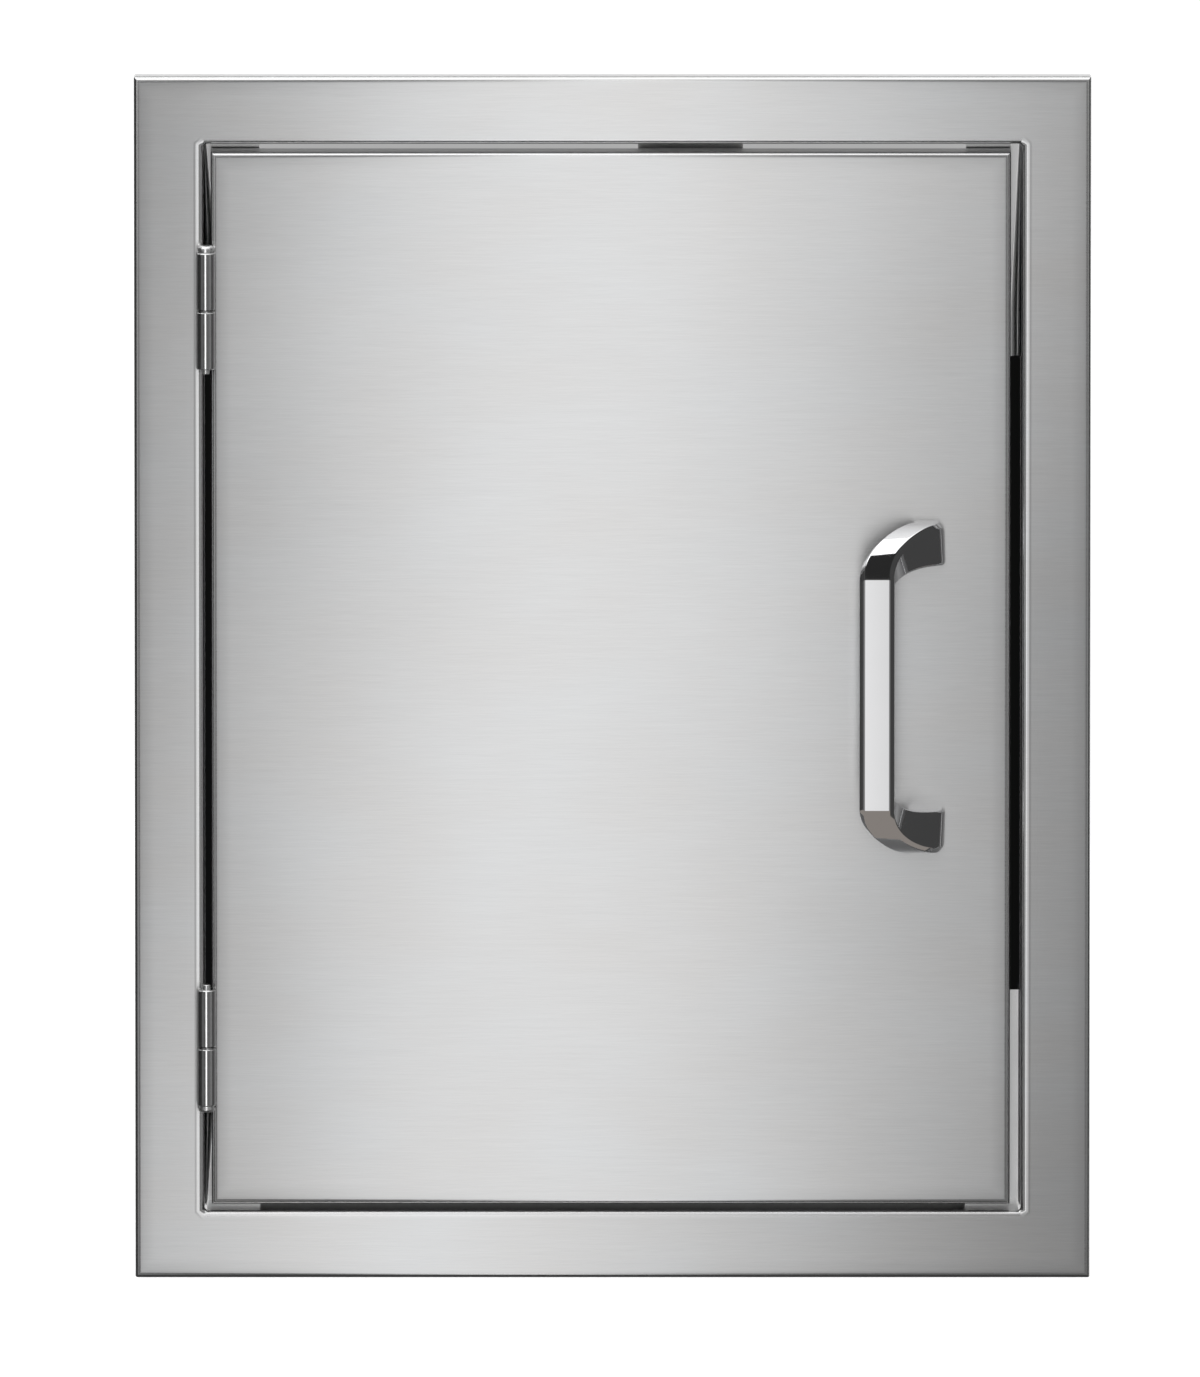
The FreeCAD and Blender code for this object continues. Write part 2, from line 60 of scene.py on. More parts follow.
mm = 0.001
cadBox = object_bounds()
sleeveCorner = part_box("upper_right_corner_stop")[1]   # this stop touches the sleeve's side and top
opening = dict(left=-sleeveCorner.x, right=sleeveCorner.x, bottom=-sleeveCorner.z, top=sleeveCorner.z)


# Small helpers for node trees

def addNode(tree, kind, inputs=None, **settings):
    made = tree.nodes.new(kind)
    for key, value in settings.items():
        setattr(made, key, value)
    for key, value in (inputs or {}).items():
        if isinstance(value, bpy.types.NodeSocket):
            tree.links.new(value, made.inputs[key])
        else:
            made.inputs[key].default_value = value
    return made


def addMath(tree, operation, first, second=0.0):
    return addNode(tree, "ShaderNodeMath", {0: first, 1: second}, operation=operation).outputs[0]


def addVector(tree, operation, *values):
    return addNode(tree, "ShaderNodeVectorMath", dict(enumerate(values)), operation=operation).outputs[0]


def partsOf(tree, vector):
    return addNode(tree, "ShaderNodeSeparateXYZ", {0: vector}).outputs


def objectParts(tree):
    return partsOf(tree, addNode(tree, "ShaderNodeTexCoord").outputs["Object"])


def objectPoint(tree, scale=(1, 1, 1)):
    place = addNode(tree, "ShaderNodeTexCoord").outputs["Object"]
    return addNode(tree, "ShaderNodeMapping", {"Vector": place, "Scale": scale}).outputs[0]


def noiseAt(tree, point, scale, detail=2.0, roughness=0.5):
    inputs = {"Vector": point, "Scale": scale, "Detail": detail, "Roughness": roughness}
    return addNode(tree, "ShaderNodeTexNoise", inputs).outputs["Fac"]


def mapTo(tree, value, low, high, fromLow=0.3, fromHigh=0.7, blend="LINEAR"):
    inputs = {"Value": value, "From Min": fromLow, "From Max": fromHigh, "To Min": low, "To Max": high}
    return addNode(tree, "ShaderNodeMapRange", inputs, interpolation_type=blend).outputs[0]


def colourOf(value):
    return (*value, 1) if isinstance(value, tuple) else (value, value, value, 1)


def rampOf(tree, factor, stops):
    made = addNode(tree, "ShaderNodeValToRGB", {"Fac": factor})
    ramp = made.color_ramp
    while len(ramp.elements) < len(stops):
        ramp.elements.new(0.5)
    for element, (place, value) in zip(ramp.elements, stops):
        element.position = place
        element.color = colourOf(value)
    return made.outputs["Color"]


def mixOf(tree, share, first, second):
    made = addNode(tree, "ShaderNodeMix", {"Factor": share}, data_type="RGBA")
    sockets = [socket for socket in made.inputs if socket.type == "RGBA"]
    for socket, value in zip(sockets, (first, second)):
        if isinstance(value, bpy.types.NodeSocket):
            tree.links.new(value, socket)
        else:
            socket.default_value = colourOf(value)
    return [socket for socket in made.outputs if socket.type == "RGBA"][0]


def toWorld(tree, vector):
    # a direction fixed to its piece, so it turns with the door
    return addNode(
        tree, "ShaderNodeVectorTransform", {"Vector": vector},
        vector_type="VECTOR", convert_from="OBJECT", convert_to="WORLD",
    ).outputs[0]


def emptyMaterial(name):
    material = bpy.data.materials.new(name)
    material.use_nodes = True
    tree = material.node_tree
    tree.nodes.clear()
    return material, tree, addNode(tree, "ShaderNodeOutputMaterial")


def startMaterial(name, **values):
    material, tree, output = emptyMaterial(name)
    shader = addNode(tree, "ShaderNodeBsdfPrincipled", values)
    tree.links.new(shader.outputs[0], output.inputs[0])
    return material, tree, shader


def addBump(tree, shader, height, strength, distance, **inputs):
    inputs.update(Height=height, Strength=strength, Distance=distance)
    tree.links.new(addNode(tree, "ShaderNodeBump", inputs).outputs[0], shader.inputs["Normal"])


def shadesOf(tree, cloud, colour, darker, lighter):
    dark, light = [tuple(part * by for part in colour) for by in (darker, lighter)]
    return rampOf(tree, mapTo(tree, cloud, 0, 1), [(0, dark), (1, light)])


# Finishes

def brushedSteel(name, look):
    # brushed sheet: fine lines along X, which turn with the sheet where it is folded back
    material, tree, shader = startMaterial(name, Metallic=1.0, Anisotropic=look["anisotropy"])
    place = addNode(tree, "ShaderNodeTexCoord").outputs
    spot = partsOf(tree, place["Object"])
    facingUp = addMath(tree, "ABSOLUTE", partsOf(tree, place["Normal"])["Z"])
    lying = addMath(tree, "GREATER_THAN", facingUp, look["lyingFrom"])
    standing = addMath(tree, "SUBTRACT", 1.0, lying)
    along = addMath(tree, "ADD", spot["X"], addMath(tree, "MULTIPLY", spot["Y"], standing))
    across = addMath(tree, "ADD", spot["Z"], addMath(tree, "MULTIPLY", spot["Y"], lying))
    sheet = addNode(tree, "ShaderNodeCombineXYZ", {"X": along, "Y": across}).outputs[0]

    def linesOf(length, width, detail):
        inputs = {"Vector": sheet, "Scale": (1 / length, 1 / width, 1)}
        stretched = addNode(tree, "ShaderNodeMapping", inputs).outputs[0]
        return noiseAt(tree, stretched, 1.0, detail, look["lineRoughness"])

    length, width = look["lineLength"], look["lineWidth"]
    fine = linesOf(length, width, look["lineDetail"])
    broad = linesOf(length * look["broadLength"], width * look["broadWidth"], look["broadDetail"])
    cloud = noiseAt(tree, objectPoint(tree, look["cloudStretch"]), look["cloudScale"])
    contrast = look["contrast"]
    half = contrast / 2
    grain = addMath(tree, "ADD", mapTo(tree, fine, -contrast, contrast), mapTo(tree, broad, -half, half))
    shade = addMath(tree, "ADD", grain, mapTo(tree, cloud, 1 - half, 1 + half))
    tint = mixOf(tree, mapTo(tree, cloud, 0, 1), look["colour"], look["coolColour"])
    tree.links.new(addVector(tree, "MULTIPLY", tint, shade), shader.inputs["Base Color"])
    # the lines are drawn out and half polished where the sheet is bent
    size = partsOf(tree, addVector(tree, "ABSOLUTE", place["Normal"]))
    flatness = addMath(tree, "MAXIMUM", addMath(tree, "MAXIMUM", size["X"], size["Y"]), size["Z"])
    rough = mapTo(tree, flatness, look["bendRoughness"], look["roughness"], *look["bendFlatness"])
    spread = mapTo(tree, fine, 1 - look["roughnessSpread"], 1 + look["roughnessSpread"])
    tree.links.new(addMath(tree, "MULTIPLY", rough, spread), shader.inputs["Roughness"])
    # the sheet isn't quite flat: slow waves, and a twist from its top to its bottom
    inputs = {"Vector": objectPoint(tree), "Scale": look["waveScale"], "Detail": look["waveDetail"]}
    waves = addNode(tree, "ShaderNodeTexNoise", inputs).outputs["Color"]
    centred = addVector(tree, "SUBTRACT", waves, (0.5, 0.5, 0.5))
    swell = addVector(tree, "MULTIPLY", centred, (look["waves"],) * 3)
    lean = mapTo(tree, spot["Z"], look["twist"], 0.0, opening["bottom"], opening["top"])
    twist = addNode(tree, "ShaderNodeCombineXYZ", {"X": lean}).outputs[0]
    tilt = toWorld(tree, addVector(tree, "ADD", swell, twist))
    flat = addNode(tree, "ShaderNodeNewGeometry").outputs["Normal"]
    tilted = addVector(tree, "NORMALIZE", addVector(tree, "ADD", flat, tilt))
    addBump(tree, shader, fine, look["bump"], look["bumpHeight"], Normal=tilted)
    # the blur lies across the lines
    tree.links.new(toWorld(tree, look["blurWay"]), shader.inputs["Tangent"])
    return material


sheetLook = dict(
    colour=(0.754, 0.75, 0.746), coolColour=(0.742, 0.75, 0.756), contrast=0.035,
    cloudScale=14.0, cloudStretch=(1, 1, 1.6),
    lineLength=14 * mm, lineWidth=0.35 * mm, lineDetail=3.0, lineRoughness=0.6, lyingFrom=0.7,
    broadLength=4, broadWidth=5, broadDetail=2.0,
    roughness=0.305, roughnessSpread=0.08, bendRoughness=0.22, bendFlatness=(0.98, 0.9995),
    anisotropy=0.7, blurWay=(0, 0.02, 1), bump=0.12, bumpHeight=0.02 * mm,
    waveScale=7.0, waveDetail=1.0, waves=0.02, twist=0.0,
)

metalLook = dict(cloudDetail=4.0, cloudRoughness=0.6, speckTimes=25, bumpHeight=0.02 * mm)

def plainMetal(name, colour, roughness, spread=0.15, scale=60.0, contrast=0.04, bump=0.1):
    look = metalLook
    material, tree, shader = startMaterial(name, Metallic=1.0)
    cloud = noiseAt(tree, objectPoint(tree), scale, look["cloudDetail"], look["cloudRoughness"])
    speck = noiseAt(tree, objectPoint(tree), scale * look["speckTimes"])
    shades = shadesOf(tree, cloud, colour, 1 - contrast, 1 + contrast)
    tree.links.new(shades, shader.inputs["Base Color"])
    rough = mapTo(tree, cloud, roughness * (1 - spread), roughness * (1 + spread))
    tree.links.new(rough, shader.inputs["Roughness"])
    addBump(tree, shader, speck, bump, look["bumpHeight"])
    return material


plasticLook = dict(
    cloudScale=90.0, darker=0.8, lighter=1.25, grainDetail=3.0, grainRoughness=0.6, spread=0.15,
    bumpHeight=0.04 * mm,
)

def mouldedPlastic(name, colour, roughness, scale=1400.0, bump=0.3):
    look = plasticLook
    material, tree, shader = startMaterial(name)
    grain = noiseAt(tree, objectPoint(tree), scale, look["grainDetail"], look["grainRoughness"])
    cloud = noiseAt(tree, objectPoint(tree), look["cloudScale"])
    shades = shadesOf(tree, cloud, colour, look["darker"], look["lighter"])
    tree.links.new(shades, shader.inputs["Base Color"])
    rough = mapTo(tree, grain, roughness * (1 - look["spread"]), roughness * (1 + look["spread"]))
    tree.links.new(rough, shader.inputs["Roughness"])
    addBump(tree, shader, grain, bump, look["bumpHeight"])
    return material


finishes = {
    "frame_stainless": brushedSteel("brushedFrame", dict(sheetLook, twist=0.045)),
    "door_stainless": brushedSteel("brushedDoor", dict(sheetLook, cloudScale=11.0, twist=0.022)),
    "liner_stainless": brushedSteel("brushedLiner", dict(sheetLook, roughness=0.42, contrast=0.05)),
    "stop_stainless": plainMetal("millStops", (0.85, 0.85, 0.85), 0.15, scale=40.0, bump=0.03),
    "inner_steel": plainMetal("galvanisedSteel", (0.64, 0.63, 0.62), 0.5, scale=120.0, contrast=0.12),
    "hinge_stainless": plainMetal("polishedHinge", (0.6, 0.6, 0.6), 0.15, scale=300.0),
    "pin_stainless": plainMetal("turnedPin", (0.85, 0.85, 0.85), 0.3, scale=500.0),
    "washer_stainless": plainMetal("stampedWasher", (0.6, 0.6, 0.6), 0.25, scale=500.0),
    "handle_chrome": plainMetal(
        "chrome", (0.93, 0.93, 0.94), 0.05, spread=0.3, scale=30.0, contrast=0.01, bump=0.02,
    ),
    "screw_zinc": plainMetal("zincPlate", (0.62, 0.63, 0.66), 0.32, scale=400.0, contrast=0.08),
    "strike_steel": plainMetal("nickelPlate", (0.58, 0.57, 0.55), 0.3, scale=200.0),
    "black_plastic": mouldedPlastic("blackPlastic", (0.12, 0.104, 0.097), 0.45),
    "magnet_ferrite": mouldedPlastic("ferrite", (0.03, 0.03, 0.032), 0.6, scale=2200.0, bump=0.6),
    "bumper_rubber": mouldedPlastic("rubber", (0.02, 0.02, 0.02), 0.8, scale=900.0),
}
for node in nodes.values():
    for place in node.material_slots:
        slotName = place.material.name.split(".")[0]
        place.material = finishes[slotName]
print("finishes given to", len(nodes), "nodes")


# Sheet-metal helpers

sheetWeld = 0.02 * mm   # points of a sheet that are closer than this become one

def grow(box, by):
    left, right = box["left"] - by, box["right"] + by
    return dict(left=left, right=right, bottom=box["bottom"] - by, top=box["top"] + by)


def boxOf(node):
    low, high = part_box(node)
    return dict(left=low.x, right=high.x, bottom=low.z, top=high.z), low.y, high.y


def quarterTurn(steps):
    return [math.radians(90) * step / steps for step in range(steps + 1)]


def foldInwards(box, corner, y, radius, steps):
    # from the side of a box to a face at depth y, round an outside bend
    fold = []
    for angle in reversed(quarterTurn(steps)):
        out, back = radius * (math.sin(angle) - 1), radius * (1 - math.cos(angle))
        fold.append((grow(box, out), corner, y + back))
    return fold


def foldOutwards(box, corner, y, radius, steps):
    # from the wall of an opening to the face round it
    fold = []
    for angle in quarterTurn(steps):
        out, back = radius * (1 - math.cos(angle)), radius * (1 - math.sin(angle))
        fold.append((grow(box, out), corner + out, y + back))
    return fold


def extrudeLoop(bm, loop):
    # draws a line of edges out by one station, and gives its new vertices and its new edges
    made = bmesh.ops.extrude_edge_only(bm, edges=loop)["geom"]
    added = {item for item in made if isinstance(item, bmesh.types.BMVert)}
    edges = [item for item in made if isinstance(item, bmesh.types.BMEdge)]
    return added, [edge for edge in edges if set(edge.verts) <= added]


def foldedSheet(stations, facing, cornerSteps=1, closed=False):
    # sheet that runs round a rectangle, from one station to the next: a box, its corner radius and a depth
    bm = bmesh.new()
    turnOf = bm.verts.layers.float.new("turn")
    count = 4 * cornerSteps
    halfStep = math.pi / count
    ring = bmesh.ops.create_circle(bm, segments=count, radius=1.0)["verts"]
    for vert in ring:
        vert[turnOf] = math.atan2(vert.co.y, vert.co.x) + halfStep

    def placeRing(verts, box, corner, y):
        reach = corner / math.cos(halfStep)
        for vert in verts:
            across, up = math.cos(vert[turnOf]), math.sin(vert[turnOf])
            x = box["right"] - corner if across > 0 else box["left"] + corner
            z = box["top"] - corner if up > 0 else box["bottom"] + corner
            vert.co = (x + reach * across, y, z + reach * up)

    placeRing(ring, *stations[0])
    loop = bm.edges[:]
    for station in stations[1:]:
        added, loop = extrudeLoop(bm, loop)
        placeRing(added, *station)
    if closed:
        bmesh.ops.contextual_create(bm, geom=loop)
    return facedSheet(bm, facing)


def facedSheet(bm, facing):
    # welds a sheet's doubles and turns its widest face to the front (-1) or the back (1)
    bmesh.ops.remove_doubles(bm, verts=bm.verts, dist=sheetWeld)
    bmesh.ops.recalc_face_normals(bm, faces=bm.faces)
    bm.normal_update()
    widest = max(bm.faces, key=lambda face: abs(face.normal.y) * face.calc_area())
    if widest.normal.y * facing < 0:
        bmesh.ops.reverse_faces(bm, faces=bm.faces)
    return bm


def softenEdges(bm, edges, radius, segments):
    bmesh.ops.bevel(
        bm, geom=edges, affect="EDGES", offset=radius, offset_type="OFFSET",
        segments=segments, profile=0.5, material=-1, clamp_overlap=True,
    )


def sharpEdges(bm, degrees):
    turn = math.radians(degrees)
    return [edge for edge in bm.edges if len(edge.link_faces) == 2 and edge.calc_face_angle() > turn]


def addBlock(bm, x, y, z):
    middle = Vector((sum(x) / 2, sum(y) / 2, sum(z) / 2))
    size = Matrix.Diagonal((x[1] - x[0], y[1] - y[0], z[1] - z[0], 1))
    bmesh.ops.create_cube(bm, size=1.0, matrix=Matrix.Translation(middle) @ size)


def addRod(bm, middle, way, radius, length, segments=32, far=None):
    turn = Vector(way).to_track_quat("Z", "Y").to_matrix().to_4x4()
    bmesh.ops.create_cone(
        bm, cap_ends=True, segments=segments, radius1=radius, radius2=radius if far is None else far,
        depth=length, matrix=Matrix.Translation(middle) @ turn,
    )


def cutHoles(bm, holes):
    # the holes are rods in a mesh of their own, taken out of the piece by a Boolean
    pair = []
    for made, name in ((bm, "cutPiece"), (holes, "cutter")):
        mesh = bpy.data.meshes.new(name)
        made.to_mesh(mesh)
        made.free()
        pair.append(bpy.data.objects.new(name, mesh))
        bpy.context.scene.collection.objects.link(pair[-1])
    piece, cutter = pair
    cut = piece.modifiers.new("holes", "BOOLEAN")
    cut.operation = "DIFFERENCE"
    cut.solver = "EXACT"
    cut.object = cutter
    bpy.context.view_layer.update()
    shown = piece.evaluated_get(bpy.context.evaluated_depsgraph_get())
    result = bmesh.new()
    result.from_mesh(shown.to_mesh())
    shown.to_mesh_clear()
    for spare in pair:
        mesh = spare.data
        bpy.data.objects.remove(spare)
        bpy.data.meshes.remove(mesh)
    return result


def finishPiece(bm, name, finish, body, replaced=(), sharpAngle=35):
    mesh = bpy.data.meshes.new(name)
    bm.to_mesh(mesh)
    bm.free()
    mesh.shade_smooth()
    mesh.set_sharp_from_angle(angle=math.radians(sharpAngle))
    mesh.materials.append(finishes[finish])
    piece = bpy.data.objects.new(name, mesh)
    bpy.context.scene.collection.objects.link(piece)
    even = piece.modifiers.new("evenFaces", "WEIGHTED_NORMAL")
    even.keep_sharp = True
    even.weight = 100
    if replaced:
        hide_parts(*replaced)
    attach(piece, body)
    return piece


# Frame: the sleeve, the fold at its mouth with the faint ridge that folding leaves, the face
# and the return behind its outer edge. Crown and ridge are pairs in millimetres: the distance
# from the edge, and how far the face falls or rises there.

frameValues = dict(
    sheet=1.2 * mm, bend=3 * mm, steps=10, cornerSteps=2,
    mouthCorner=2.1 * mm, outerCorner=1.3 * mm, leastCorner=0.01 * mm,
    crown=[(10.0, 0.0), (8.0, 0.01), (6.0, 0.04), (4.5, 0.075), (3.0, 0.12)],
    ridge=[(3.2, 0.0), (3.6, 0.035), (4.0, 0.05), (4.4, 0.035), (5.2, 0.0)],
    holeRadius=2.6 * mm, holeLength=6 * mm, holeInset=12.8 * mm, holeDrop=141.4 * mm,
)

def dressFrame(values):
    outer, face, rear = boxOf("face_frame")
    bend, steps, corner = values["bend"], values["steps"], values["mouthCorner"]
    stations = [(opening, corner, rear)] + foldOutwards(opening, corner, face, bend, steps)
    stations += [(grow(opening, out * mm), corner + out * mm, face - up * mm) for out, up in values["ridge"]]
    rim = [(grow(outer, -inset * mm), 0, face + down * mm) for inset, down in values["crown"]]
    # the outer bend, taken from the face to the side, without the place where the crown ends
    rim += foldInwards(outer, 0, face + values["crown"][-1][1] * mm, bend, steps)[-2::-1]
    for box, _, y in rim:
        inset = box["left"] - outer["left"]
        stations.append((box, max(values["outerCorner"] - inset, values["leastCorner"]), y))
    stations.append((outer, values["outerCorner"], 0))
    bm = foldedSheet(stations, facing=-1, cornerSteps=values["cornerSteps"])
    bmesh.ops.solidify(bm, geom=bm.faces[:], thickness=values["sheet"])
    holes = bmesh.new()
    for x in (opening["left"], opening["right"]):
        for z in (opening["bottom"] + values["holeDrop"], opening["top"] - values["holeDrop"]):
            middle = (x, rear - values["holeInset"], z)
            addRod(holes, middle, (1, 0, 0), values["holeRadius"], values["holeLength"])
    finishPiece(cutHoles(bm, holes), "brushedFaceFrame", "frame_stainless", "frame", ["face_frame"])


dressFrame(frameValues)
print("frame dressed")


# Corner stops: short angles folded by hand, so the bend opens out away from the corner

stopValues = dict(
    sheet=1.2 * mm, steps=8, stations=12, tightest=1.3 * mm, widest=6.5 * mm,
    opening=dict(upper_left=0.11, upper_right=0.061, lower_left=0.085, lower_right=0.0),
    spots=3, spotRadius=2.2 * mm, spotTop=0.7, spotHeight=0.15 * mm, spotDepth=14 * mm, spotSides=20,
)

def dressStop(corner, values):
    node = corner + "_corner_stop"
    low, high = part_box(node)
    right, upper = corner.endswith("right"), corner.startswith("upper")
    side = 1 if right else -1
    wall, inner = (high.x, low.x) if right else (low.x, high.x)
    near, far = (high.z, low.z) if upper else (low.z, high.z)

    def profile(share):
        reach = abs(far - near) * share
        radius = min(values["tightest"] + values["opening"][corner] * reach, values["widest"])
        bend = [(wall - side * radius * (1 - math.sin(angle)), low.y + radius * (1 - math.cos(angle)))
                for angle in quarterTurn(values["steps"])]
        return [(inner, low.y)] + bend + [(wall, high.y)]

    bm = bmesh.new()
    numberOf = bm.verts.layers.int.new("number")
    first = bmesh.ops.create_circle(bm, segments=len(profile(0)), radius=1.0)["verts"]
    for number, vert in enumerate(first):
        vert[numberOf] = number
    closing = [edge for edge in bm.edges if abs(edge.verts[0][numberOf] - edge.verts[1][numberOf]) > 1]
    bmesh.ops.delete(bm, geom=closing, context="EDGES")
    line, added = bm.edges[:], set(bm.verts)
    for station in range(values["stations"] + 1):
        share = station / values["stations"]
        if station:
            added, line = extrudeLoop(bm, line)
        places = profile(share)
        for vert in added:
            x, y = places[vert[numberOf]]
            vert.co = (x, y, near + (far - near) * share)
    bm = facedSheet(bm, facing=-1)
    bmesh.ops.solidify(bm, geom=bm.faces[:], thickness=values["sheet"])
    radius, height = values["spotRadius"], values["spotHeight"]
    x = wall - side * (values["sheet"] + height / 2)
    for spot in range(values["spots"]):
        z = near + (far - near) * (spot + 0.5) / values["spots"]
        middle = (x, low.y + values["spotDepth"], z)
        addRod(bm, middle, (-side, 0, 0), radius, height, values["spotSides"], radius * values["spotTop"])
    name = "".join(word.capitalize() for word in corner.split("_"))
    finishPiece(bm, "cornerStop" + name, "stop_stainless", "frame", [node])


for corner in stopValues["opening"]:
    dressStop(corner, stopValues)
print("corner stops dressed")


# Door skin and the liner pressed to stiffen it

skinValues = dict(
    sheet=1 * mm, frontBend=3 * mm, backBend=2 * mm, lip=14 * mm, frontSteps=10, backSteps=5,
    crown=[(3.0, 0.12), (4.5, 0.075), (6.0, 0.04), (8.0, 0.01), (10.0, 0.0)],
)

def dressSkin(values):
    edge, face, rear = boxOf("door_skin")
    stations = [(grow(edge, -values["lip"]), 0, rear)]
    # the back bend is an outside bend turned over
    backFold = foldInwards(edge, 0, rear, values["backBend"], values["backSteps"])[::-1]
    stations += [(box, 0, 2 * rear - y) for box, _, y in backFold]
    # the face falls away a little toward its edges, where folding has pulled it round
    drop = values["crown"][0][1]
    stations += foldInwards(edge, 0, face + drop * mm, values["frontBend"], values["frontSteps"])[:-1]
    stations += [(grow(edge, -inset * mm), 0, face + down * mm) for inset, down in values["crown"]]
    bm = foldedSheet(stations, facing=-1, closed=True)
    bmesh.ops.solidify(bm, geom=bm.faces[:], thickness=values["sheet"])
    finishPiece(bm, "brushedDoorSkin", "door_stainless", "door", ["door_skin"])


dressSkin(skinValues)
print("door skin dressed")

# brim and foot are the pressing's soft edges: pairs in shares of soft, outwards and off the flat
linerValues = dict(
    sheet=1 * mm, corner=2 * mm, flange=13.6 * mm, slope=4 * mm, depth=4 * mm, recessCorner=14 * mm,
    soft=0.8 * mm, brim=[(1, 0), (0.3, 0.2), (-0.4, 0.8)], foot=[(0.4, 0.8), (-0.3, 0.2), (-1, 0)],
    cornerSteps=8,
    spotRadius=2.4 * mm, spotTop=0.75, spotHeight=0.12 * mm, spotGap=62 * mm, spotSides=20,
)

def dressLiner(values):
    edge, _, rear = boxOf("door_liner")
    mouth, corner = grow(edge, -values["flange"]), values["recessCorner"]
    floor, inner = grow(mouth, -values["slope"]), corner - values["slope"]
    soft, deep = values["soft"], rear - values["depth"]
    stations = [(edge, values["corner"], rear)]
    for out, down in values["brim"]:
        stations.append((grow(mouth, out * soft), corner + max(out, 0) * soft, rear - down * soft))
    for out, up in values["foot"]:
        stations.append((grow(floor, out * soft), inner, deep + up * soft))
    bm = foldedSheet(stations, facing=1, cornerSteps=values["cornerSteps"], closed=True)
    bmesh.ops.solidify(bm, geom=bm.faces[:], thickness=values["sheet"])
    finishPiece(bm, "pressedLiner", "liner_stainless", "door", ["door_liner"])
    addSpotWelds(grow(edge, -values["flange"] / 2), rear + values["spotHeight"] / 2, values)


def addSpotWelds(line, y, values):
    # a row of spot welds along each side of a rectangle, with the corners in the upright rows
    spots = bmesh.new()
    radius = values["spotRadius"]
    size = (radius, values["spotHeight"], values["spotSides"], radius * values["spotTop"])
    for low, high, standing in ((line["bottom"], line["top"], True), (line["left"], line["right"], False)):
        count = round((high - low) / values["spotGap"])
        for step in range(count + 1) if standing else range(1, count):
            place = low + (high - low) * step / count
            for side in ("left", "right") if standing else ("bottom", "top"):
                middle = (line[side], y, place) if standing else (place, y, line[side])
                addRod(spots, middle, (0, 1, 0), *size)
    finishPiece(spots, "linerSpotWelds", "liner_stainless", "door")


dressLiner(linerValues)
print("liner dressed")


# Handle: each arm is a section of eight corners drawn along four curves, from the plinth on the
# door to the crease where the flat of the grip ends. A curve has its two ends and, between them,
# two points that it bends towards. A point is x, the distance out from the door's face, and the
# height above the handle's middle, in millimetres. The cuts take the corners off the section's
# front, sides and back: each has its value at the plinth, one to bend towards, and that at the grip.

handleValues = dict(
    outerLeft=[(149.6, 3, 83.4), (148.5, 13, 87.0), (122.8, 27.8, 76.0), (124.3, 35, 58.6)],
    outerRight=[(167.2, 3, 83.4), (167.3, 7.5, 85.6), (139.4, 28.0, 79.0), (142.4, 35, 58.6)],
    innerRight=[(167.8, 3, 62.2), (168.3, 7.0, 62.0), (147.2, 20.4, 65.2), (140.4, 23.5, 51.0)],
    innerLeft=[(150.0, 3, 62.2), (149.5, 14, 62.0), (127.0, 20, 62.2), (124.3, 23.5, 48.6)],
    frontCut=(2.6, 1.3, 2.75), sideCut=(3.4, 0.9, 2.2), backCut=(1.3, 1.0, 1.4),
    steps=24, edge=0.45 * mm, edgeSteps=3, sharpAngle=18,
    onDoor=0.001 * mm, mirrorGap=0.01 * mm, weldGap=0.005 * mm,
)

def alongCurve(points, share):
    start, first, second, end = [Vector(point) for point in points]
    rest = 1 - share
    return start * rest**3 + first * 3 * share * rest**2 + second * 3 * share**2 * rest + end * share**3


def handleSection(values, share):
    names = ("outerLeft", "outerRight", "innerRight", "innerLeft")
    corners = [alongCurve(values[name], share) for name in names]
    rest = 1 - share
    cuts = (values["frontCut"], values["sideCut"], values["backCut"])
    front, side, back = [plinth * rest**2 + 2 * towards * share * rest + grip * share**2
                         for plinth, towards, grip in cuts]

    def step(start, end, length):
        return corners[start] + (corners[end] - corners[start]).normalized() * length

    return [
        step(0, 1, front), step(1, 0, front), step(1, 2, side), step(2, 1, back),
        step(2, 3, back), step(3, 2, back), step(3, 0, back), step(0, 3, side),
    ]


